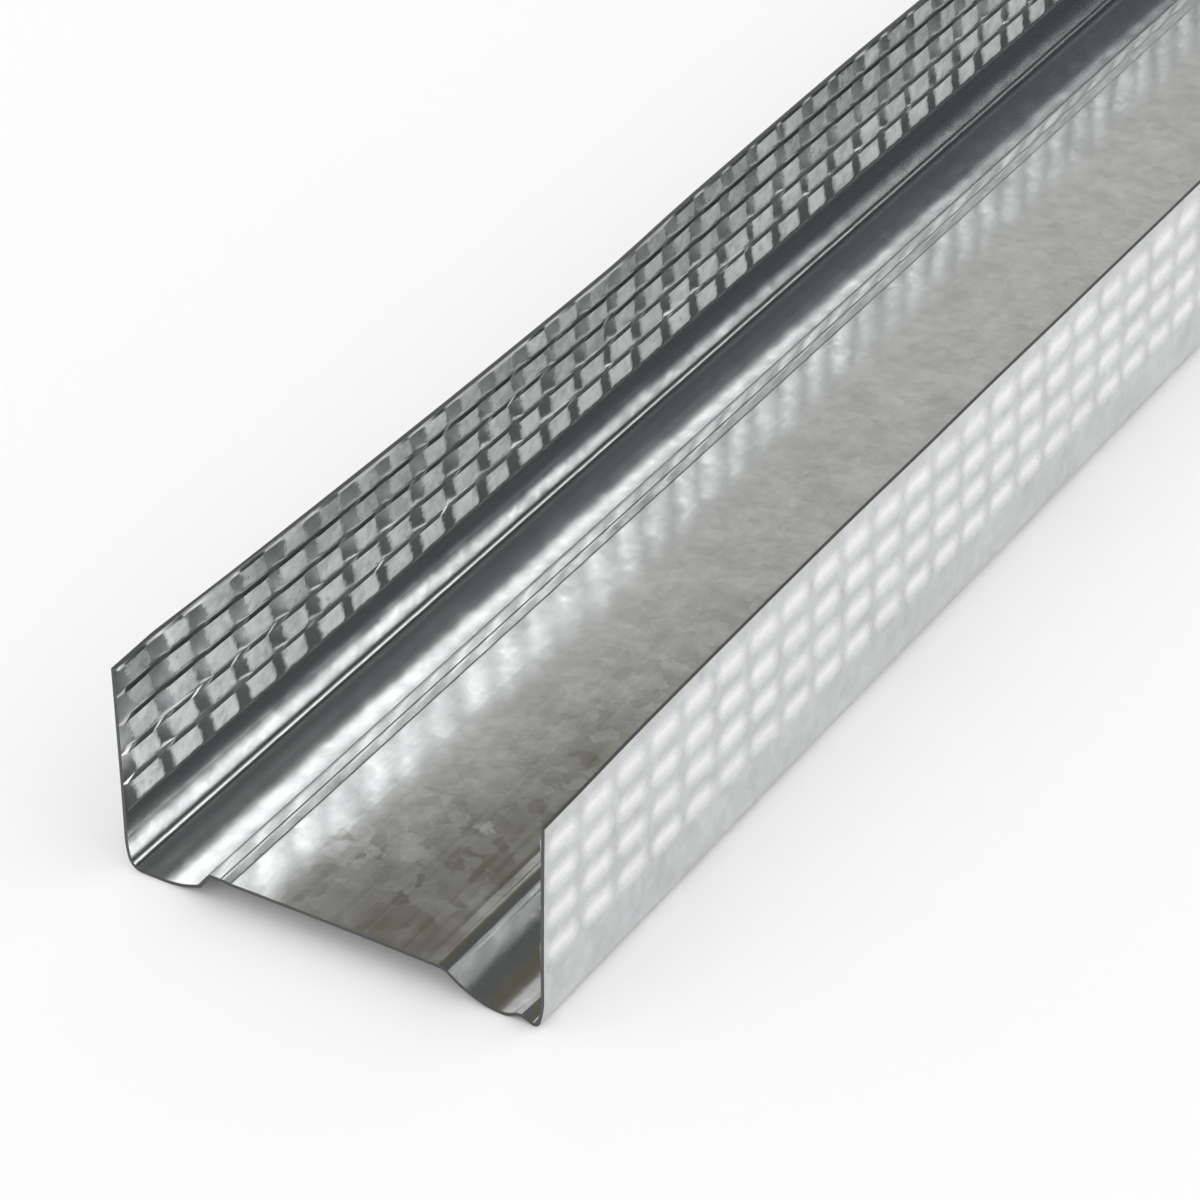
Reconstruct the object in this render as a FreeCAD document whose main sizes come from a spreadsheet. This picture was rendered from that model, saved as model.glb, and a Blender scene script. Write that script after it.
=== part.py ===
import FreeCAD, Part
import math
import os
import Sketcher

# Drywall track: one strip of galvanised sheet, roll-formed into a shallow channel.
# It runs along Y, its web lies level and its two legs stand up along Z.
# The origin is below the middle of the track, level with the underside of its feet.

# Millimetres and degrees. Radii are on the inside of the bend.
SIZES = {
    "track_length": 3048,  # length that the stock is cut to
    "inside_width": 63.5,  # between the inner faces of the legs, where the stud stands
    "leg_height": 31.75,  # from the underside of the feet to the top of the legs
    "sheet_thickness": 0.5,  # thickness of the strip
    "corner_radius": 1.8,  # bend between a foot and its leg
    "leg_curve_radius": 15,  # wide curve that brings the leg upright above the bend
    "leg_curve_top": 5.2,  # where that curve ends and the straight leg starts
    "feet_spacing": 53,  # between the inner edges of the two flat feet
    "rise_radius": 14,  # wide curve from a foot up to the step
    "web_rise": 3.6,  # web above the feet
    "raised_width": 37.8,  # between the sharp upper corners of the two steps
    "step_angle": 55,  # slope of the step
    "step_radius": 0.8,  # bends at the top and the bottom of the step
    "bead_spacing": 31,  # between the inner edges of the two beads on the web
    "bead_run": 0.9,  # width of a bead's sloping flank
    "bead_height": 0.12,  # bead above the web
}

# How a sketch numbers its own axes, and the points of a line or an arc.
ORIGIN, VERTICAL_AXIS = range(-1, -3, -1)
START, END, CENTRE = range(1, 4)

# Half of the section, from the middle of the web out to the top of a leg: web, flank of
# the bead, bead, bend, step, bend, rise, foot, corner, curve and leg.
SHARP_JOINTS = (
    ("web", END, "flank", START),
    ("flank", END, "bead", START),
)
SMOOTH_JOINTS = (
    ("bead", END, "top_bend", END),
    ("top_bend", START, "step", START),
    ("step", END, "low_bend", START),
    ("low_bend", END, "rise", START),
    ("rise", END, "foot", START),
    ("foot", END, "corner", START),
    ("corner", END, "leg_curve", START),
    ("leg_curve", END, "leg", START),
)
LEVEL_LINES = ("web", "bead", "foot")
BENDS = ("top_bend", "low_bend", "rise", "corner", "leg_curve")


def point(across, up):
    return FreeCAD.Vector(across, up, 0)


def line(start, end):
    return Part.LineSegment(start, end)


def arc(centre, radius, start_angle, end_angle):
    circle = Part.Circle(centre, FreeCAD.Vector(0, 0, 1), radius)
    return Part.ArcOfCircle(circle, math.radians(start_angle), math.radians(end_angle))


def strip_face(depth):
    """Lines and arcs of one face of the strip, this far below its upper face."""
    thickness = SIZES["sheet_thickness"]
    web_level = thickness + SIZES["web_rise"]
    bead_level = web_level + SIZES["bead_height"]
    bead_inside = SIZES["bead_spacing"] / 2
    bead_outside = bead_inside + SIZES["bead_run"]

    slope = SIZES["step_angle"]
    down_step = point(math.cos(math.radians(slope)), -math.sin(math.radians(slope)))
    off_step = point(-down_step.y, down_step.x)
    step_corner = point(SIZES["raised_width"] / 2, bead_level)

    # The upper bend rounds the sharp corner of the step.
    top_radius = SIZES["step_radius"] + thickness
    setback = top_radius * math.tan(math.radians(slope / 2))
    top_centre = step_corner - point(setback, top_radius)

    # The lower bend touches the step and the wide curve of the rise from inside.
    low_radius = SIZES["step_radius"]
    rise_radius = SIZES["rise_radius"]
    rise_centre = point(SIZES["feet_spacing"] / 2, thickness + rise_radius)
    above_corner = step_corner + off_step * low_radius - rise_centre
    halfway = above_corner.dot(down_step)
    beyond = above_corner.dot(above_corner) - (rise_radius - low_radius) ** 2
    down = math.sqrt(halfway ** 2 - beyond) - halfway
    low_centre = rise_centre + above_corner + down_step * down
    to_rise = rise_centre - low_centre
    rise_slope = math.degrees(math.atan2(to_rise.x, to_rise.y))

    # The corner touches the wide curve at the foot of the leg from inside.
    corner_radius = SIZES["corner_radius"]
    corner_level = thickness + corner_radius
    half_inside = SIZES["inside_width"] / 2
    curve_radius = SIZES["leg_curve_radius"]
    curve_centre = point(half_inside - curve_radius, SIZES["leg_curve_top"])
    reach = curve_radius - corner_radius
    lean = math.asin((curve_centre.y - corner_level) / reach)
    corner_centre = point(curve_centre.x + reach * math.cos(lean), corner_level)
    upright = 360 - math.degrees(lean)

    below = point(0, depth)
    web_end = point(bead_inside, web_level) - below
    bead_start = point(bead_outside, bead_level) - below
    step_start = top_centre + off_step * (top_radius - depth)
    step_end = low_centre - off_step * (low_radius + depth)
    leg_across = half_inside + depth
    return {
        "web": line(point(0, web_level) - below, web_end),
        "flank": line(web_end, bead_start),
        "bead": line(bead_start, point(top_centre.x, bead_level) - below),
        "top_bend": arc(top_centre, top_radius - depth, 90 - slope, 90),
        "step": line(step_start, step_end),
        "low_bend": arc(low_centre, low_radius + depth, 270 - slope, 270 - rise_slope),
        "rise": arc(rise_centre, rise_radius + depth, 270 - rise_slope, 270),
        "foot": line(point(rise_centre.x, thickness) - below, point(corner_centre.x, thickness) - below),
        "corner": arc(corner_centre, corner_radius + depth, 270, upright),
        "leg_curve": arc(curve_centre, curve_radius + depth, upright, 360),
        "leg": line(point(leg_across, curve_centre.y), point(leg_across, SIZES["leg_height"])),
    }


def add_face(sketch, depth):
    """Draws one face of the strip, joined from end to end, and returns its pieces by name."""
    face = {name: sketch.addGeometry(shape) for name, shape in strip_face(depth).items()}
    for kind, joints in (("Coincident", SHARP_JOINTS), ("Tangent", SMOOTH_JOINTS)):
        for one, one_end, other, other_end in joints:
            ends = (face[one], one_end, face[other], other_end)
            sketch.addConstraint(Sketcher.Constraint(kind, *ends))
    for name in LEVEL_LINES:
        sketch.addConstraint(Sketcher.Constraint("Horizontal", face[name]))
    sketch.addConstraint(Sketcher.Constraint("Vertical", face["leg"]))
    sketch.addConstraint(Sketcher.Constraint("PointOnObject", face["web"], START, VERTICAL_AXIS))
    return face


def add_cut(sketch, over, under, end):
    """Draws the straight edge across the strip between the same end of its two faces."""
    edge = sketch.addGeometry(line(sketch.getPoint(over, end), sketch.getPoint(under, end)))
    sketch.addConstraint(Sketcher.Constraint("Coincident", edge, START, over, end))
    sketch.addConstraint(Sketcher.Constraint("Coincident", edge, END, under, end))
    return edge


def add_size(sketch, name, formula, kind, *places):
    """Adds a dimension that follows the sheet of sizes."""
    value = sketch.evalExpression(formula)
    if kind == "Angle":
        value = value.getValueAs("rad")
    number = sketch.addConstraint(Sketcher.Constraint(kind, *places, float(value)))
    sketch.renameConstraint(number, name)
    sketch.setExpression("Constraints." + name, formula)


doc = FreeCAD.newDocument("drywall_track")
sheet = doc.addObject("Spreadsheet::Sheet", "Sizes")
for row, (name, value) in enumerate(SIZES.items(), start=1):
    sheet.set("A%d" % row, name)
    sheet.set("B%d" % row, str(value))
    sheet.setAlias("B%d" % row, name)
doc.recompute()

body = doc.addObject("PartDesign::Body", "Track")
body.Label = "track"
planes = {plane.Role: plane for plane in body.Origin.OriginFeatures}

section = body.newObject("Sketcher::SketchObject", "HalfSection")
section.AttachmentSupport = [(planes["XZ_Plane"], "")]
section.MapMode = "FlatFace"
over = add_face(section, 0)
under = add_face(section, SIZES["sheet_thickness"])
add_cut(section, over["web"], under["web"], START)
leg_top = add_cut(section, over["leg"], under["leg"], END)
section.addConstraint(Sketcher.Constraint("Horizontal", leg_top))

# Sizes of the upper face.
corner_point = section.addGeometry(Part.Point(strip_face(0)["step"].StartPoint), True)
for name in ("bead", "step"):
    section.addConstraint(Sketcher.Constraint("PointOnObject", corner_point, START, over[name]))
thickness = "Sizes.sheet_thickness"
web_level = thickness + " + Sizes.web_rise"
add_size(section, "web_level", web_level, "DistanceY", ORIGIN, START, over["web"], START)
add_size(section, "bead_inside", "Sizes.bead_spacing / 2", "DistanceX", ORIGIN, START, over["web"], END)
add_size(section, "bead_run", "Sizes.bead_run", "DistanceX", over["flank"], START, over["flank"], END)
add_size(section, "bead_height", "Sizes.bead_height", "DistanceY", over["flank"], START, over["flank"], END)
add_size(section, "step_corner", "Sizes.raised_width / 2", "DistanceX", ORIGIN, START, corner_point, START)
add_size(section, "step_angle", "-Sizes.step_angle * 1 deg", "Angle", over["step"])
add_size(section, "top_radius", "Sizes.step_radius + " + thickness, "Radius", over["top_bend"])
add_size(section, "low_radius", "Sizes.step_radius", "Radius", over["low_bend"])
add_size(section, "rise_radius", "Sizes.rise_radius", "Radius", over["rise"])
add_size(section, "foot_inside", "Sizes.feet_spacing / 2", "DistanceX", ORIGIN, START, over["rise"], CENTRE)
add_size(section, "foot_level", thickness, "DistanceY", ORIGIN, START, over["foot"], START)
add_size(section, "corner_radius", "Sizes.corner_radius", "Radius", over["corner"])
add_size(section, "leg_curve_radius", "Sizes.leg_curve_radius", "Radius", over["leg_curve"])
add_size(section, "leg_curve_top", "Sizes.leg_curve_top", "DistanceY", ORIGIN, START, over["leg"], START)
add_size(section, "half_inside", "Sizes.inside_width / 2", "DistanceX", ORIGIN, START, over["leg"], START)
add_size(section, "leg_height", "Sizes.leg_height", "DistanceY", ORIGIN, START, over["leg"], END)

# The underside follows the upper face, one thickness away from it.
for name in BENDS:
    section.addConstraint(Sketcher.Constraint("Coincident", under[name], CENTRE, over[name], CENTRE))
for name in LEVEL_LINES:
    add_size(section, name + "_thickness", thickness, "DistanceY", under[name], START, over[name], START)
section.addConstraint(Sketcher.Constraint("Parallel", under["flank"], over["flank"]))
add_size(section, "flank_thickness", thickness, "Distance", under["flank"], END, over["flank"])
doc.recompute()

half = body.newObject("PartDesign::Pad", "HalfTrack")
half.Profile = section
half.SideType = "Symmetric"
half.setExpression("Length", "Sizes.track_length")
doc.recompute()

whole = body.newObject("PartDesign::Mirrored", "WholeTrack")
whole.Originals = [half]
whole.MirrorPlane = (planes["YZ_Plane"], [""])
whole.Refine = True
body.Tip = whole
doc.recompute()

for item in doc.Objects:
    if "Invalid" in item.State or "Error" in item.State:
        raise RuntimeError("%s could not be built" % item.Name)
if not section.FullyConstrained:
    raise RuntimeError("the section is not fully dimensioned")
if body.Shape.isNull() or not body.Shape.isValid() or len(body.Shape.Solids) != 1:
    raise RuntimeError("the track is not one sound solid")

os.makedirs("parts", exist_ok=True)
body.Shape.exportStep("parts/%s.step" % body.Label)
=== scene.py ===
import math

import bmesh
import bpy
import numpy as np
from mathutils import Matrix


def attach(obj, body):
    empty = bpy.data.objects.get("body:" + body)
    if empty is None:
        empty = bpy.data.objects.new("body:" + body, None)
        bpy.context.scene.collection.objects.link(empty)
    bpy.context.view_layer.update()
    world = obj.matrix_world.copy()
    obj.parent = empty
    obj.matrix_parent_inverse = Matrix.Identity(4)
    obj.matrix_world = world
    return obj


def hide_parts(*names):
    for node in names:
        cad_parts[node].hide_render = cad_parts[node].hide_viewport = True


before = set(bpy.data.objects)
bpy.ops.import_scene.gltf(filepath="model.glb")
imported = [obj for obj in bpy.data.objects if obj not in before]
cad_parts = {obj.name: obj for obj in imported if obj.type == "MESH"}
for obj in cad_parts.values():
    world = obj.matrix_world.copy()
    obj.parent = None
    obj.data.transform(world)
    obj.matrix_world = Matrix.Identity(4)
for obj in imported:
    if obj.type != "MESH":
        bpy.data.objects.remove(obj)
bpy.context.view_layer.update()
scene = bpy.context.scene
random = np.random.default_rng(11)

# Millimetres and degrees, as in the part's drawing. The mesh is scaled to metres when it is made.
MM = 0.001
LENGTH = 3048.0
NEAR_END, FAR_END = -LENGTH / 2, LENGTH / 2
HALF_INSIDE = 31.75
LEG_HEIGHT = 31.75
SHEET = 0.5
LEG_CURVE_RADIUS = 15.0
LEG_CURVE_TOP = 5.2
HALF_FEET = 26.5
WEB_RISE = 3.6
BEAD_RUN = 0.9
LOW_RADIUS = 0.8

# The section as drawn, and as the cut has pushed it at the near end of the right side
AS_DRAWN = {
    "half_beads": 15.5,
    "corner_radius": 1.8,
    "rise_radius": 14.0,
    "half_raised": 18.9,
    "step_angle": 55,
    "top_radius": 0.8,
    "bead_height": 0.12,
    "second_score": 0.5,
    "score_depth": 0.04,
}
PUSHED = {
    "half_beads": 15.0,
    "corner_radius": 1.0,
    "rise_radius": 12.9,
    "half_raised": 17.7,
    "step_angle": 46,
    "top_radius": 2.4,
    "bead_height": 0.0,
    "second_score": 0.25,
    "score_depth": 0.0,
}
# Points across the section: places on the web and the foot, and steps round each bend
WEB_PLACES = (2.5, 5.0, 7.5, 10.0, 12.5, 14.0)
FOOT_PLACES = (27.3, 28.1, 28.9)
TOP_STEPS, LOW_STEPS, RISE_STEPS, FOOT_STEPS, CORNER_STEPS, CURVE_STEPS = 6, 4, 12, 3, 10, 8
# Score lines that the rolls leave along the upper face, the last one in the corner
SCORE_WIDTH, FIRST_SCORE = 0.3, 0.16
BEFORE_CREASE, CREASE, AFTER_CREASE = 0.3, 0.38, 0.46
# Corner points between these heights carry painted shade along the crease.
CREASE_REACH, CREASE_LOW, CREASE_HIGH, CREASE_SHADE = 3, 0.7, 1.7, 0.5

# Embossing of the legs, three pads to the inch. It is pressed in from outside the track, so each
# pad is a flat-topped bump on the inner face and a soft dent on the outer face. Rows count upward.
PADS = 360
PAD_DEPTH = 0.2
LEFT_ROWS, LEFT_FIRST = (11.3, 15.9, 20.6, 25.0, 29.4), 5.3
RIGHT_ROWS, RIGHT_FIRST = (11.5, 17.0, 22.4, 27.8), 4.4
PAD_LEAN, GAP_LEAN = 0.16, 0.22
BUMP_LENGTHS = (7.2, 7.1, 6.9, 6.8, 6.8)
BUMP_HEIGHT, BUMP_END, BUMP_SIDE, BUMP_SLANT, BUMP_MARGIN = 4.5, 1.3, 0.9, 0.4, 0.5
DENT_HEIGHT, DENT_END, DENT_SIDE, DENT_SLANT, DENT_MARGIN = 4.8, 2.3, 2.35, 0.1, 0.2
ROW_GAP = 0.22
END_MARGIN = 0.1
# How uneven the pads are
PAD_PRESS, POINT_PRESS = (0.8, 1.15), (0.85, 1.1)
PAD_UNEVEN, LEDGE_UNEVEN = 0.35, 0.15
# How light the pads and dents are, and how dark the gaps and the ledges above the pads. This is painted
# light and shade: the lower rows lighter and the upper rows darker, painted shade in the gaps and on the
# ledges, painted highlights on the dents.
ROW_PAD_LIGHT_AND_SHADE = ((0.9, 1.0), (0.85, 1.0), (0.6, 1.0), (0.45, 0.95), (0.45, 0.95))
DENT_SHINE = (0.92, 1.0)
ROW_SHADES = (0.6, 0.6, 0.9, 1.0, 1.0)
SHADE_ABOVE, SHADE_BELOW = 1.3, 0.8
ROW_LEDGE_SHADES = (0.3, 0.5, 0.75, 0.8, 0.8)
# Edges this steep are sharp, and long ones already from the lower angle.
SHARP_ANGLE, LONG_SHARP_ANGLE, LONG_EDGE = 50, 12, 7.8

# The thin legs wave and spring open at the cut ends: how far their top leans inward, along the track.
LEFT_WAVE = ((0, -0.1), (5, -0.7), (10, -0.65), (20, -0.1), (40, 0.45), (60, 0.9), (80, 1.3),
             (100, 1.5), (120, 1.7), (140, 0.85), (160, 0.5), (180, 0.2), (200, 0.05))
RIGHT_WAVE = ((0, -0.3), (7, -0.15), (13, 0.05), (20, 0.3), (40, 0.6), (60, 0.8), (80, 0.9),
              (100, 0.75), (120, 0.85), (140, 0.7), (180, 0.6), (200, 0.6))
FAR_WAVE = ((LENGTH - 20, 0.2), (LENGTH - 8, -0.4), (LENGTH, -0.5))
HIDDEN_WAVE, HIDDEN_PLACES = (0.1, 0.9), np.arange(280, LENGTH - 100, 90)
WAVE_BLUR, BLUR_REACH = 4.0, 12
WAVE_START, WAVE_POWER, LEG_REACH = 9.2, 1.3, 2
# The web is a little crowned, less so at the cut ends.
CROWN, END_CROWN, END_RUN, CROWN_INSET = 0.35, 0.1, 25.0, 0.2
# Places along the track where the section has points, and how far the right side is pushed there
STATIONS = (NEAR_END, NEAR_END + 8, NEAR_END + END_RUN, NEAR_END + 60, FAR_END - END_RUN, FAR_END)
PUSHED_SHARES = (1.0, 0.95, 0.75, 0.0, 0.0, 0.0)
# The cut has also pushed up the right foot next to its corner.
HUMP_PLACE, HUMP_WIDTH, HUMP_HEIGHT, HUMP_TOP = 28.7, 1.5, 0.9, 2
HUMP_RUN, HUMP_SHARES = (0, 8, END_RUN), (1, 0.35, 0)


def arc(centre, radius, start, end, steps):
    angles = np.linspace(start, end, steps + 1)
    return [(centre[0] + radius * math.cos(a), centre[1] + radius * math.sin(a)) for a in angles]


def score(across, up, depth):
    """Three points of a shallow score line on a level face."""
    return [(across - SCORE_WIDTH / 2, up), (across, up - depth), (across + SCORE_WIDTH / 2, up)]


def half_section(sizes):
    """Points of the upper face and of the underside, from the web out to the foot of the leg."""
    angle = math.radians(sizes["step_angle"])
    corner_radius, rise_radius = sizes["corner_radius"], sizes["rise_radius"]
    web_level = SHEET + WEB_RISE
    bead_level = web_level + sizes["bead_height"]
    bead_inside = sizes["half_beads"]
    bead_outside = bead_inside + BEAD_RUN

    # The upper bend rounds the corner of the step, the lower one touches the rise from inside.
    down = np.array((math.cos(angle), -math.sin(angle)))
    off = np.array((-down[1], down[0]))
    corner = np.array((sizes["half_raised"], bead_level))
    top_radius = sizes["top_radius"] + SHEET
    top = corner - np.array((top_radius * math.tan(angle / 2), top_radius))
    rise = np.array((HALF_FEET, SHEET + rise_radius))
    start = corner + off * LOW_RADIUS - rise
    halfway = start @ down
    beyond = start @ start - (rise_radius - LOW_RADIUS) ** 2
    low = rise + start + down * (math.sqrt(halfway ** 2 - beyond) - halfway)
    slope = math.atan2(rise[0] - low[0], rise[1] - low[1])

    # The bend at the corner touches the wide curve at the foot of the leg from inside.
    curve = np.array((HALF_INSIDE - LEG_CURVE_RADIUS, LEG_CURVE_TOP))
    bend_level = SHEET + corner_radius
    reach = LEG_CURVE_RADIUS - corner_radius
    lean = math.asin((LEG_CURVE_TOP - bend_level) / reach)
    bend = np.array((curve[0] + reach * math.cos(lean), bend_level))

    right, up, below = 2 * math.pi, math.pi / 2, 3 * math.pi / 2
    faces = []
    for depth, groove in ((0.0, sizes["score_depth"]), (SHEET, 0.0)):
        corner_bend = corner_radius + depth
        points = [(x, web_level - depth) for x in WEB_PLACES]
        points += score(bead_inside - FIRST_SCORE, web_level - depth, groove)
        points += [(bead_inside, web_level - depth), (bead_outside, bead_level - depth)]
        points += score(bead_outside + sizes["second_score"], bead_level - depth, groove)
        points += arc(top, top_radius - depth, up, up - angle, TOP_STEPS)
        points += arc(low, LOW_RADIUS + depth, below - angle, below - slope, LOW_STEPS)
        points += arc(rise, rise_radius + depth, below - slope, below, RISE_STEPS)[1:]
        points += [(x, SHEET - depth) for x in FOOT_PLACES]
        points += arc(bend, corner_bend, below, below + BEFORE_CREASE, FOOT_STEPS)
        points += arc(bend, corner_bend + groove, below + CREASE, below + CREASE, 0)
        points += arc(bend, corner_bend, below + AFTER_CREASE, right - lean, CORNER_STEPS)
        points += arc(curve, LEG_CURVE_RADIUS + depth, right - lean, right, CURVE_STEPS)[1:]
        faces.append(points)
    return faces


def bump_lines(rows):
    """Lines along the inner face: height, row, share of the pad's depth, share of the lean."""
    lines = []
    for number, middle in enumerate(rows):
        low = middle - BUMP_HEIGHT / 2
        high = min(middle + BUMP_HEIGHT / 2, LEG_HEIGHT - BUMP_MARGIN)
        if number:
            low = lines[-1][0] + ROW_GAP
        for level, share in ((low, 0), (low + BUMP_SIDE, 1), (high, 1)):
            lines.append((level, number, share, (level - middle) / (BUMP_HEIGHT / 2)))
    return lines + [(high + ROW_GAP, number, 0, 0)]


def dent_lines(rows):
    """The same for the outer face, which doesn't lean."""
    height = min(DENT_HEIGHT, rows[1] - rows[0])
    lines = []
    for number, middle in enumerate(rows):
        low, high = middle - height / 2, min(middle + height / 2, LEG_HEIGHT - DENT_MARGIN)
        if not lines or low - lines[-1][0] > DENT_MARGIN:
            lines.append((low, number, 0, 0))
        lines += [(low + DENT_SIDE, number, 1, 0), (high - DENT_SIDE, number, 1, 0)]
        lines.append((high, number, 0, 0))
    return lines


def bump_places(first, pitch, row, up, uneven):
    """Points of a line on the inner face, this far above the middle of its row: place, pad, share."""
    places = []
    for pad in range(PADS):
        middle = NEAR_END + first + pad * pitch + uneven[row, pad, 0] - BUMP_SLANT * up
        half = BUMP_LENGTHS[row] / 2 + uneven[row, pad, 1]
        places += [(middle - half, pad, 0), (middle - half + BUMP_END, pad, 1)]
        places += [(middle + half - BUMP_END, pad, 1), (middle + half, pad, 0)]
    return places


def dent_places(first, pitch, up):
    """The same for the outer face."""
    places = []
    for pad in range(PADS):
        start = NEAR_END + first + (pad - 0.5) * pitch - DENT_SLANT * up
        places += [(start, pad, 0), (start + DENT_END, pad, 1), (start + pitch - DENT_END, pad, 1)]
    return places + [(start + pitch, pad, 0)]


def leg_wave(knots):
    """How far a leg's top leans inward at each millimetre of the track."""
    hidden = [(place, random.uniform(*HIDDEN_WAVE)) for place in HIDDEN_PLACES]
    places, leans = zip(*knots, *hidden, *FAR_WAVE)
    lean = np.interp(np.arange(0, LENGTH + 1), places, leans)
    spread = np.exp(-0.5 * (np.arange(-BLUR_REACH, BLUR_REACH + 1) / WAVE_BLUR) ** 2)
    return np.convolve(np.pad(lean, BLUR_REACH, mode="edge"), spread / spread.sum(), mode="valid")


class Sheet:
    """Points and faces of the track, and the marks that its material reads, painted light and shade among
    them.
    """

    def __init__(self):
        self.vertices, self.faces, self.flat = [], [], []
        self.cut, self.ledges = set(), {}
        self.shares = {name: {} for name in ("pad", "gap_painted_shade", "ledge_and_crease_shade", "dent_along", "dent_across")}

    def add_line(self, points):
        start = len(self.vertices)
        self.vertices.extend(points)
        return list(range(start, start + len(points)))

    def add_face(self, corners, flat=False):
        self.faces.append(tuple(corners))
        self.flat.append(flat)

    def add_cut(self, corners):
        self.cut.add(len(self.faces))
        self.add_face(corners, flat=True)

    def span(self, one, other):
        """Faces between two lines along the track. Returns their numbers."""
        start = len(self.faces)
        if len(one) == len(other):
            for k in range(len(one) - 1):
                self.add_face((one[k], one[k + 1], other[k + 1], other[k]))
        else:
            self.add_face(one + other[::-1], flat=True)
        return range(start, len(self.faces))

    def span_top(self, dense, top):
        """Faces between the last embossed line and the top of the leg, which has fewer points."""
        step = (len(dense) - 2) // PADS
        firsts = [0] + [1 + k * step for k in range(1, PADS)] + [len(dense) - 1]
        for k in range(PADS):
            self.add_face(dense[firsts[k]:firsts[k + 1] + 1] + [top[k + 1], top[k]])

    def add_section(self, side, depth, drawn, pushed):
        """Lines along one face of the sheet, from the web to the foot of the leg."""
        pushed_shares = PUSHED_SHARES if side > 0 else [0] * len(STATIONS)
        lines = []
        for one, other in zip(np.array(drawn), np.array(pushed)):
            section = [one + (other - one) * share for share in pushed_shares]
            lines.append(self.add_line([(side * x, y, z) for (x, z), y in zip(section, STATIONS)]))
            # Points in the corner crease carry painted shade.
            in_corner = one[0] > HALF_INSIDE - CREASE_REACH and CREASE_LOW < one[1] < CREASE_HIGH
            if not depth and in_corner:
                self.shares["ledge_and_crease_shade"].update((vertex, CREASE_SHADE) for vertex in lines[-1])
        return lines


def add_side(sheet, side, rows, first):
    """One side of the track, its upper face and its underside, as lines along the track."""
    press = PAD_DEPTH * random.uniform(*PAD_PRESS, (len(rows), PADS))
    pad_light_and_shade = np.array([random.uniform(low, high, PADS) for low, high in ROW_PAD_LIGHT_AND_SHADE[:len(rows)]])
    shine = random.uniform(*DENT_SHINE, (len(rows), PADS))
    uneven = random.uniform(-PAD_UNEVEN, PAD_UNEVEN, (len(rows), PADS, 2))
    pitch = (LENGTH - 2 * first) / (PADS - 1)
    side_lines = []
    for depth, drawn, pushed in zip((0.0, SHEET), half_section(AS_DRAWN), half_section(PUSHED)):
        lines = sheet.add_section(side, depth, drawn, pushed)
        leg = HALF_INSIDE + depth
        ledge_shades = {}
        for level, row, share, lean in (dent_lines(rows) if depth else bump_lines(rows)):
            if depth:
                places = dent_places(first, pitch, level - rows[row])
            else:
                places = bump_places(first, pitch, row, level - rows[row], uneven)
            under_ledge = not depth and share and level > rows[row]
            points = [(side * leg, NEAR_END, level)]
            for y, pad, part in places:
                pressed = share * part * press[row, pad] * random.uniform(*POINT_PRESS)
                pressed += lean * (PAD_LEAN if part else GAP_LEAN)
                drop = random.uniform(0, LEDGE_UNEVEN) if under_ledge else 0
                y = min(max(y, NEAR_END + END_MARGIN), FAR_END - END_MARGIN)
                points.append((side * (leg - pressed), y, level - drop))
            points.append((side * leg, FAR_END, level))
            lines.append(sheet.add_line(points))
            # The ledge above each row's pads and the gaps between pads carry painted shade, darker in the
            # upper rows and above the middle of a row.
            if under_ledge:
                ledge_shades[lines[-1][0]] = ROW_LEDGE_SHADES[row]
            gap_shade = ROW_SHADES[row] * (SHADE_ABOVE if level > rows[row] else SHADE_BELOW)
            for vertex, (y, pad, part) in zip(lines[-1][1:], places):
                if depth:
                    sheet.shares["dent_along"][vertex] = part * shine[row, pad]
                    sheet.shares["dent_across"][vertex] = share * shine[row, pad]
                elif share * part:
                    sheet.shares["pad"][vertex] = pad_light_and_shade[row, pad]
                else:
                    sheet.shares["gap_painted_shade"][vertex] = gap_shade
        for one, other in zip(lines, lines[1:]):
            numbers = sheet.span(one, other)
            if one[0] in ledge_shades:
                sheet.ledges.update((number, ledge_shades[one[0]]) for number in numbers)
        step = len(places) // PADS
        top = [NEAR_END] + [places[k * step][0] for k in range(1, PADS)] + [FAR_END]
        lines.append(sheet.add_line([(side * leg, y, LEG_HEIGHT) for y in top]))
        sheet.span_top(lines[-2], lines[-1])
        side_lines.append(lines)

    upper, under = side_lines
    sheet.cut.update(sheet.span(upper[-1], under[-1]))
    for end in (0, -1):
        sheet.add_cut([line[end] for line in upper] + [line[end] for line in reversed(under)])
    return side_lines


def bent(vertices):
    """The points with the waves of the legs, the crown of the web and the pushed foot."""
    points = np.array(vertices)
    x, y, z = points.T
    along = y + LENGTH / 2
    for side, knots in ((-1, LEFT_WAVE), (1, RIGHT_WAVE)):
        lean = np.interp(along, np.arange(0, LENGTH + 1), leg_wave(knots))
        share = np.clip((z - WAVE_START) / (LEG_HEIGHT - WAVE_START), 0, None) ** WAVE_POWER
        points[:, 0] -= np.where(side * x > HALF_INSIDE - LEG_REACH, side * lean * share, 0)
    crown = np.interp(LENGTH / 2 - np.abs(y), (0, END_RUN), (END_CROWN, CROWN))
    half_crown = AS_DRAWN["half_beads"] - CROWN_INSET
    points[:, 2] += crown * np.clip(1 - (x / half_crown) ** 2, 0, None)
    hump = HUMP_HEIGHT * np.exp(-((x - HUMP_PLACE) / HUMP_WIDTH) ** 2) * (z < HUMP_TOP)
    points[:, 2] += hump * np.interp(along, HUMP_RUN, HUMP_SHARES)
    return points


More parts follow.
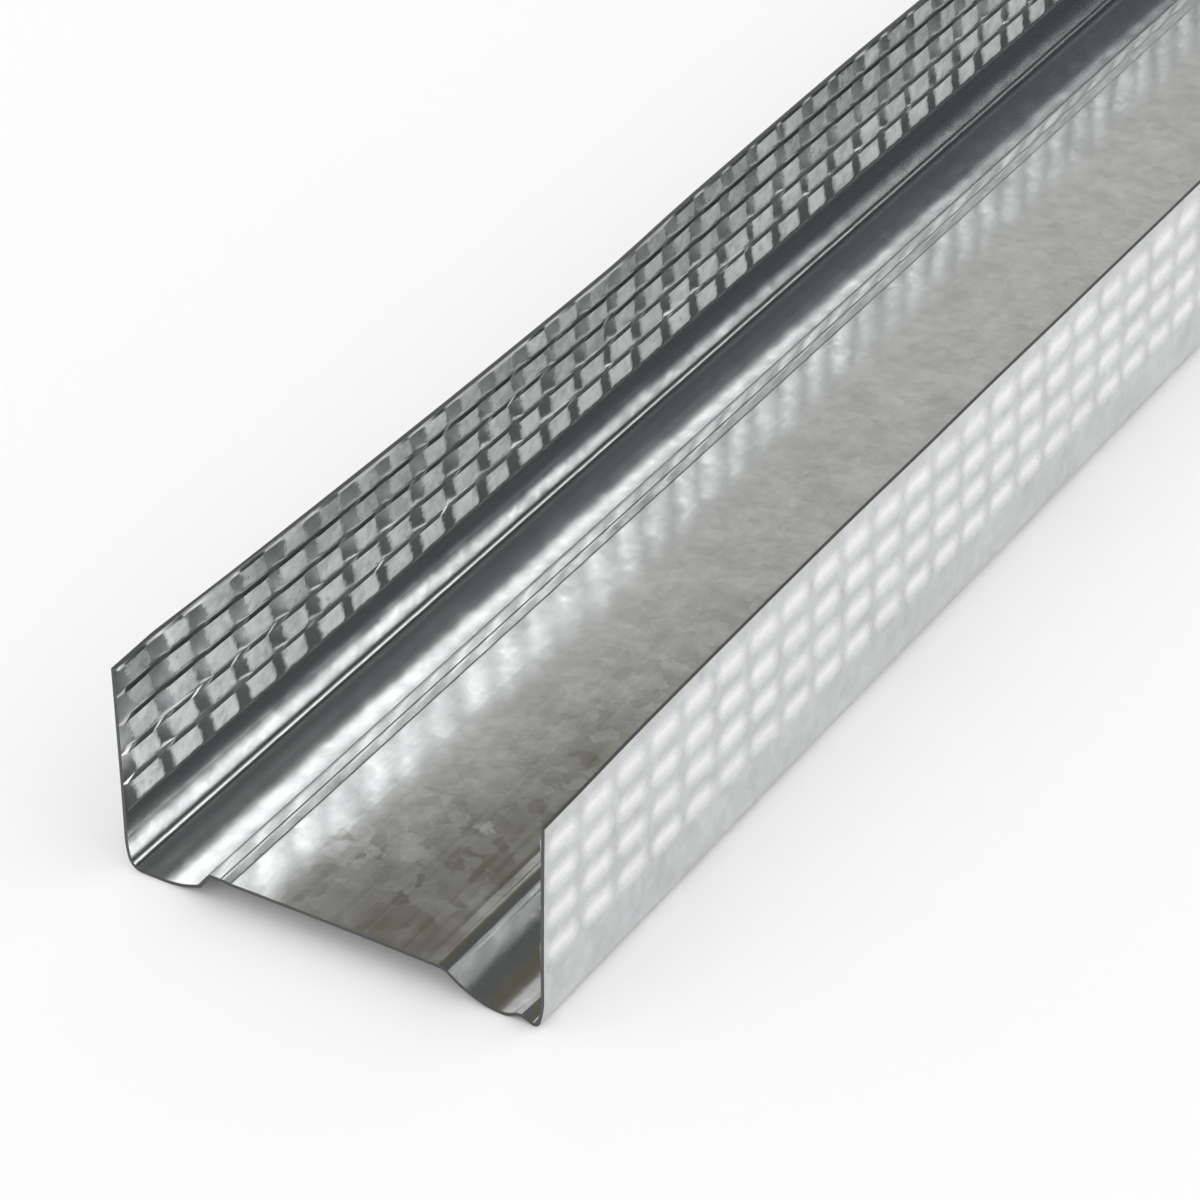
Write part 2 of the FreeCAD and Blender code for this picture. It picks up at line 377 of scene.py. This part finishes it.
def mark_edges(mesh, sheet):
    """Faces outward, smooth where they curve, with sharp edges at the bends and the ledges."""
    bm = bmesh.new()
    bm.from_mesh(mesh)
    bmesh.ops.recalc_face_normals(bm, faces=bm.faces)
    for face, is_flat in zip(bm.faces, sheet.flat):
        face.smooth = not is_flat
    for edge in bm.edges:
        limit = LONG_SHARP_ANGLE if edge.calc_length() > LONG_EDGE * MM else SHARP_ANGLE
        if edge.calc_face_angle(0) > math.radians(limit):
            edge.smooth = False
    bm.faces.ensure_lookup_table()
    for number in sheet.ledges:
        for edge in bm.faces[number].edges:
            along = edge.verts[0].co - edge.verts[1].co
            if abs(along.y) > 2 * abs(along.z):
                edge.smooth = False
    bm.to_mesh(mesh)
    bm.free()


def mark_corners(mesh, sheet):
    """The marks that the material reads, at each corner of each face."""
    corners = np.zeros(len(mesh.loops), int)
    mesh.loops.foreach_get("vertex_index", corners)
    marks = {"cut": np.zeros(len(corners))}
    for name, values in sheet.shares.items():
        by_vertex = np.zeros(len(sheet.vertices))
        by_vertex[list(values)] = list(values.values())
        marks[name] = by_vertex[corners]
    for number in sheet.cut:
        marks["cut"][list(mesh.polygons[number].loop_indices)] = 1
    # Ledge faces carry painted shade in place of the pads' light.
    for number, shade in sheet.ledges.items():
        marks["pad"][list(mesh.polygons[number].loop_indices)] = 0
        marks["ledge_and_crease_shade"][list(mesh.polygons[number].loop_indices)] = shade
    for name, values in marks.items():
        attribute = mesh.attributes.new(name, "FLOAT", "CORNER")
        attribute.data.foreach_set("value", values)


def build_track():
    sheet = Sheet()
    left = add_side(sheet, -1, LEFT_ROWS, LEFT_FIRST)
    right = add_side(sheet, 1, RIGHT_ROWS, RIGHT_FIRST)
    for left_lines, right_lines in zip(left, right):
        sheet.span(left_lines[0], right_lines[0])
    for end in (0, -1):
        upper, under = [(one[0][end], other[0][end]) for one, other in zip(left, right)]
        sheet.add_cut(upper + under[::-1])

    mesh = bpy.data.meshes.new("track_sheet")
    mesh.from_pydata((bent(sheet.vertices) * MM).tolist(), [], sheet.faces)
    mark_edges(mesh, sheet)
    mark_corners(mesh, sheet)
    return mesh


track = bpy.data.objects.new("track_sheet", build_track())
scene.collection.objects.link(track)


def add(tree, kind, settings=None, **inputs):
    """Adds a node. Inputs are named with _ for a space, or numbered as _0, and take values or outputs."""
    node = tree.nodes.new("ShaderNode" + kind)
    for name, value in (settings or {}).items():
        setattr(node, name, value)
    for name, value in inputs.items():
        numbered = name[1:].isdigit()
        socket = node.inputs[int(name[1:]) if numbered else name.replace("_", " ")]
        if isinstance(value, bpy.types.NodeSocket):
            tree.links.new(value, socket)
        else:
            socket.default_value = value
    return node


def remap(tree, value, low, high, start=0.0, end=1.0, curve="LINEAR"):
    return add(tree, "MapRange", {"interpolation_type": curve}, Value=value, From_Min=start, From_Max=end,
               To_Min=low, To_Max=high).outputs[0]


def maths(tree, operation, one, other):
    return add(tree, "Math", {"operation": operation}, _0=one, _1=other).outputs[0]


def vectors(tree, operation, one, other):
    return add(tree, "VectorMath", {"operation": operation}, _0=one, _1=other).outputs[0]


def plus(tree, total, value, share):
    """The total plus a share of the value."""
    return maths(tree, "ADD", total, maths(tree, "MULTIPLY", value, share))


def mark(tree, name):
    return add(tree, "Attribute", {"attribute_name": name}).outputs["Fac"]


def noise(tree, place, scale, detail, roughness=0.5, output="Fac"):
    node = add(tree, "TexNoise", Vector=place, Scale=scale, Detail=detail, Roughness=roughness)
    return node.outputs[output]


def mixed(tree, share, colour, other):
    """The colour with a share of a plain one."""
    return add(tree, "Mix", {"data_type": "RGBA"}, Factor=share, _6=colour, _7=(*other, 1)).outputs[2]


def leaning(tree, colour, most):
    """A colour as a small lean of the surface."""
    return vectors(tree, "MULTIPLY", vectors(tree, "SUBTRACT", colour, (0.5,) * 3), (most,) * 3)


ZINC_RAMP = ((0.1, (0.52, 0.525, 0.53)), (0.9, (0.69, 0.70, 0.705)))
# Pads: partly a matte pressed finish, partly painted light
PAD_MATTE_AND_LIGHT_COLOUR = (0.91, 0.945, 0.92)
# Dents: painted highlights
DENT_HIGHLIGHT_COLOUR = (0.95, 0.95, 0.945)
# Painted shade in the gaps, on the ledges and along the corner crease
PAINTED_SHADE_COLOUR = (0.06, 0.066, 0.064)
CUT_COLOUR = (0.12, 0.12, 0.12)
# Heights between which the painted light on the lower pads fades, in metres
PAINTED_LIGHT_LOW, PAINTED_LIGHT_HIGH = 0.012, 0.022
# Crystals of the coating, their borders and leans, and how long the rolling marks are drawn
CRYSTAL_SCALE, CRYSTAL_RAGGED, CRYSTAL_LEAN = 420.0, 0.003, 0.016
WAVE_LEAN = 0.034
STREAK_SQUEEZE = 0.012
RELIEF_STRENGTH, RELIEF_DEPTH = 0.12, 0.00004
# Parts of the tone, which runs from dull and dark to smooth and light
CRYSTAL_TONE, CLOUD_TONE, GRAIN_TONE = 0.3, 0.4, 0.3
DULL_ROUGH, SMOOTH_ROUGH = 0.19, 0.1
# What each mark adds to the colour and to the roughness, and how much of the mirror it leaves
PAINTED_LIGHT_COVER, DENT_HIGHLIGHT_COVER, GAP_SHADE_COVER = 0.25, 0.8, 0.28
STREAK_ROUGH, PAD_ROUGH, DENT_ROUGH, CUT_ROUGH = 0.05, 0.34, 0.22, 0.25
PAD_METAL, DENT_METAL, GAP_METAL, PAINTED_LIGHT_LOSS = 0.4, 0.45, 0.8, 0.35


def galvanised_steel():
    material = bpy.data.materials.new("galvanised_steel")
    material.use_nodes = True
    tree = material.node_tree
    tree.nodes.clear()
    place = add(tree, "TexCoord").outputs["Object"]
    gap_painted_shade, cut, ledge_and_crease_shade = mark(tree, "gap_painted_shade"), mark(tree, "cut"), mark(tree, "ledge_and_crease_shade")

    # A dent fades from its middle to its rim, and is whitened there as a painted highlight.
    off_along = remap(tree, mark(tree, "dent_along"), 1.0, 0.0)
    off_across = remap(tree, mark(tree, "dent_across"), 1.0, 0.0)
    off = add(tree, "CombineXYZ", X=off_along, Y=off_across).outputs[0]
    off = add(tree, "VectorMath", {"operation": "LENGTH"}, _0=off).outputs["Value"]
    dent = remap(tree, off, 0.0, 1.0, start=1.0, end=0.0)

    # Pads are worn at their rims, and the pads of the lower rows get painted light, lighter and less of a
    # mirror.
    pad = mark(tree, "pad")
    wear = noise(tree, place, scale=800.0, detail=4.0, roughness=0.65)
    wear = remap(tree, wear, -0.45, 0.25, start=0.3, end=0.7)
    wear = maths(tree, "MULTIPLY", wear, maths(tree, "ADD", pad, gap_painted_shade))
    pad = remap(tree, maths(tree, "ADD", pad, wear), 0.0, 1.0, curve="SMOOTHSTEP")
    height = add(tree, "SeparateXYZ", Vector=place).outputs["Z"]
    lower_painted_light = remap(tree, height, 1.0, 0.0, start=PAINTED_LIGHT_LOW, end=PAINTED_LIGHT_HIGH)
    lower_painted_light = maths(tree, "MULTIPLY", pad, lower_painted_light)

    # Crystals of the zinc coating, with ragged borders
    ragged = noise(tree, place, scale=CRYSTAL_SCALE, detail=3.0, roughness=0.6, output="Color")
    shift = vectors(tree, "MULTIPLY", ragged, (CRYSTAL_RAGGED,) * 3)
    shift = vectors(tree, "ADD", shift, place)
    crystal = add(tree, "TexVoronoi", Vector=shift, Scale=CRYSTAL_SCALE).outputs["Color"]
    shade = add(tree, "SeparateColor", Color=crystal).outputs[0]

    # Dull clouds, grain and rolling marks
    cloud = noise(tree, place, scale=140.0, detail=5.0, roughness=0.62)
    cloud = remap(tree, cloud, 0.0, 1.0, start=0.33, end=0.67)
    grain = noise(tree, place, scale=520.0, detail=4.0, roughness=0.7)
    grain = remap(tree, grain, 0.0, 1.0, start=0.3, end=0.7)
    drawn = add(tree, "Mapping", Vector=place, Scale=(1.0, STREAK_SQUEEZE, 1.0)).outputs[0]
    streak = noise(tree, drawn, scale=900.0, detail=4.0, roughness=0.6)
    streak = remap(tree, streak, 0.0, 1.0, start=0.3, end=0.7)
    fine = noise(tree, place, scale=1500.0, detail=2.0)

    tone = plus(tree, maths(tree, "MULTIPLY", shade, CRYSTAL_TONE), cloud, CLOUD_TONE)
    tone = plus(tree, tone, grain, GRAIN_TONE)
    zinc = add(tree, "ValToRGB", Fac=tone)
    for element, (position, grey) in zip(zinc.color_ramp.elements, ZINC_RAMP):
        element.position = position
        element.color = (*grey, 1)
    # The pads' whiteness: partly a matte pressed finish, partly painted light, more on the lower rows
    cover = maths(tree, "MULTIPLY", pad, remap(tree, tone, 0.2, 1.0, start=0.25, end=0.75))
    cover = plus(tree, cover, lower_painted_light, PAINTED_LIGHT_COVER)
    # Painted shade in the gaps, on the ledges and along the crease
    painted_shade = maths(tree, "MAXIMUM", maths(tree, "MULTIPLY", gap_painted_shade, GAP_SHADE_COVER), ledge_and_crease_shade)
    colour = mixed(tree, cover, zinc.outputs["Color"], PAD_MATTE_AND_LIGHT_COLOUR)
    # Painted highlights on the dents
    colour = mixed(tree, maths(tree, "MULTIPLY", dent, DENT_HIGHLIGHT_COVER), colour, DENT_HIGHLIGHT_COLOUR)
    colour = mixed(tree, painted_shade, colour, PAINTED_SHADE_COLOUR)
    colour = mixed(tree, cut, colour, CUT_COLOUR)

    rough = remap(tree, tone, DULL_ROUGH, SMOOTH_ROUGH)
    rough = plus(tree, rough, streak, STREAK_ROUGH)
    rough = plus(tree, rough, pad, PAD_ROUGH)
    rough = plus(tree, rough, dent, DENT_ROUGH)
    rough = plus(tree, rough, cut, CUT_ROUGH)

    # Each crystal leans its own way, on a sheet that is not quite flat.
    relief = plus(tree, maths(tree, "MULTIPLY", streak, 0.5), fine, 0.5)
    bump = add(tree, "Bump", Height=relief, Strength=RELIEF_STRENGTH, Distance=RELIEF_DEPTH).outputs[0]
    wave = noise(tree, place, scale=130.0, detail=2.0, output="Color")
    normal = vectors(tree, "ADD", leaning(tree, crystal, CRYSTAL_LEAN), leaning(tree, wave, WAVE_LEAN))
    normal = vectors(tree, "ADD", bump, normal)
    normal = add(tree, "VectorMath", {"operation": "NORMALIZE"}, _0=normal).outputs[0]

    # Worn zinc is less of a mirror, and so are the lower pads that get painted light.
    metal = remap(tree, pad, 1.0, PAD_METAL)
    metal = maths(tree, "SUBTRACT", metal, maths(tree, "MULTIPLY", lower_painted_light, PAINTED_LIGHT_LOSS))
    metal = maths(tree, "MINIMUM", metal, remap(tree, dent, 1.0, DENT_METAL))
    metal = maths(tree, "MINIMUM", metal, remap(tree, gap_painted_shade, 1.0, GAP_METAL))
    shader = add(tree, "BsdfPrincipled", Base_Color=colour, Roughness=rough, Normal=normal, Metallic=metal)
    add(tree, "OutputMaterial", Surface=shader.outputs[0])
    return material


track.data.materials.append(galvanised_steel())
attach(track, "root")
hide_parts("track")


def plain(name, kind, colour, **inputs):
    """A stage material with one shader."""
    material = bpy.data.materials.new(name)
    material.use_nodes = True
    tree = material.node_tree
    tree.nodes.clear()
    shader = add(tree, kind, Color=(*colour, 1), **inputs)
    add(tree, "OutputMaterial", Surface=shader.outputs[0])
    return material


def emitter(name, colour, strength=1.0):
    return plain(name, "Emission", colour, Strength=strength)


def stage_mesh(name, vertices, faces, material):
    mesh = bpy.data.meshes.new(name)
    mesh.from_pydata(vertices, [], faces)
    mesh.materials.append(material)
    thing = bpy.data.objects.new(name, mesh)
    scene.collection.objects.link(thing)
    return thing


def only_reflected(thing):
    thing.visible_camera = False
    thing.visible_diffuse = False
    thing.visible_shadow = False
    thing.visible_transmission = False


# Floor, in metres
HALF_FLOOR = 40
floor_corners = [(x * HALF_FLOOR, y * HALF_FLOOR, 0) for x, y in ((-1, -1), (1, -1), (1, 1), (-1, 1))]
stage_mesh("floor", floor_corners, [(0, 1, 2, 3)], plain("floor_white", "BsdfDiffuse", (0.9, 0.9, 0.9)))

# Ceiling with a skylight, seen only in the metal, between these elevations
CEILING_HEIGHT = 20
CEILING_LOW, CEILING_HIGH = 33, 62
CEILING_STEPS = 64


def ceiling_ring(elevation):
    reach = CEILING_HEIGHT / math.tan(math.radians(elevation))
    turns = np.linspace(0, 2 * math.pi, CEILING_STEPS, endpoint=False)
    return [(reach * math.cos(a), reach * math.sin(a), CEILING_HEIGHT) for a in turns]


ring = range(CEILING_STEPS)
following = [(k + 1) % CEILING_STEPS for k in ring]
quads = [(k, n, CEILING_STEPS + n, CEILING_STEPS + k) for k, n in zip(ring, following)]
only_reflected(stage_mesh("ceiling", ceiling_ring(CEILING_LOW) + ceiling_ring(CEILING_HIGH), quads,
                          emitter("ceiling_grey", (0.10, 0.108, 0.106))))
only_reflected(stage_mesh("skylight", ceiling_ring(CEILING_HIGH), [tuple(ring)],
                          emitter("skylight_white", (1, 1, 1))))

# Cards and softboxes round the near end of the track, seen only in the metal
PANEL_MIDDLE = -1.4


def panel(name, distance, edges, material):
    """Upright card, given by azimuth to the right of +Y and by lower and upper elevation."""
    vertices, faces = [], []
    azimuths, lows, highs = zip(*edges)
    for azimuth in np.arange(azimuths[0], azimuths[-1] + 0.1, 1.0):
        turn = math.radians(azimuth)
        x, y = distance * math.sin(turn), distance * math.cos(turn) + PANEL_MIDDLE
        for levels in (lows, highs):
            elevation = math.radians(np.interp(azimuth, azimuths, levels))
            vertices.append((x, y, distance * math.tan(elevation)))
    for k in range(0, len(vertices) - 2, 2):
        faces.append((k, k + 2, k + 3, k + 1))
    only_reflected(stage_mesh(name, vertices, faces, material))


panel("left_card", 12, [(-85, 20, 38), (-5, 20, 38)], emitter("left_grey", (0.64, 0.635, 0.61)))
panel("left_top_card", 12, [(-85, 38, 54), (-5, 38, 54)], emitter("left_brown", (0.125, 0.117, 0.083)))
panel("left_softbox", 10, [(-75, 0, 20), (-28, 0, 20)], emitter("left_white", (1, 1, 1), 2.4))
panel("right_softbox", 10, [(33, 0, 10), (36, 0, 20), (38, 0, 27), (40, 0, 31), (50, 0, 44)],
      emitter("right_white", (1, 1, 0.985), 2.75))
panel("right_key", 10, [(50, 0, 44), (56, 8, 58), (96, 12, 58)], emitter("key_white", (1, 1, 1), 4.5))
panel("right_card", 10.2,
      [(8, 12, 36), (33, 12, 36), (36, 20, 36), (38, 27, 36), (40, 31, 36), (44, 36, 36.1)],
      emitter("right_grey", (0.085, 0.097, 0.103)))

# World, a little brighter as a lamp than where it is seen
WORLD_LIGHT, WORLD_SEEN = 1.1, 1.0
world = bpy.data.worlds.new("studio")
scene.world = world
world.use_nodes = True
tree = world.node_tree
tree.nodes.clear()
path = add(tree, "LightPath").outputs
seen = maths(tree, "MAXIMUM", path["Is Camera Ray"], path["Is Glossy Ray"])
seen = maths(tree, "MAXIMUM", seen, path["Is Transmission Ray"])
strength = remap(tree, seen, WORLD_LIGHT, WORLD_SEEN)
background = add(tree, "Background", Color=(1, 1, 1, 1), Strength=strength)
add(tree, "OutputWorld", Surface=background.outputs[0])

# Camera, with the view that was solved from the photo: its place from the near end, in metres
SENSOR = 36
FOCAL_PIXELS, PHOTO_PIXELS = 4726.97, 1200
CAMERA_RIGHT, CAMERA_BEFORE, CAMERA_HEIGHT = 0.27645, 0.3864, 0.3790
CAMERA_DOWN, CAMERA_TURN = 34.451, 31.423
camera = bpy.data.objects.new("camera", bpy.data.cameras.new("camera"))
scene.collection.objects.link(camera)
camera.data.sensor_width = SENSOR
camera.data.lens = FOCAL_PIXELS / PHOTO_PIXELS * SENSOR
camera.data.clip_end = 200
camera.location = (CAMERA_RIGHT, NEAR_END * MM - CAMERA_BEFORE, CAMERA_HEIGHT)
camera.rotation_euler = (math.radians(90 - CAMERA_DOWN), 0, math.radians(CAMERA_TURN))
scene.camera = camera
scene.view_settings.view_transform = "Standard"
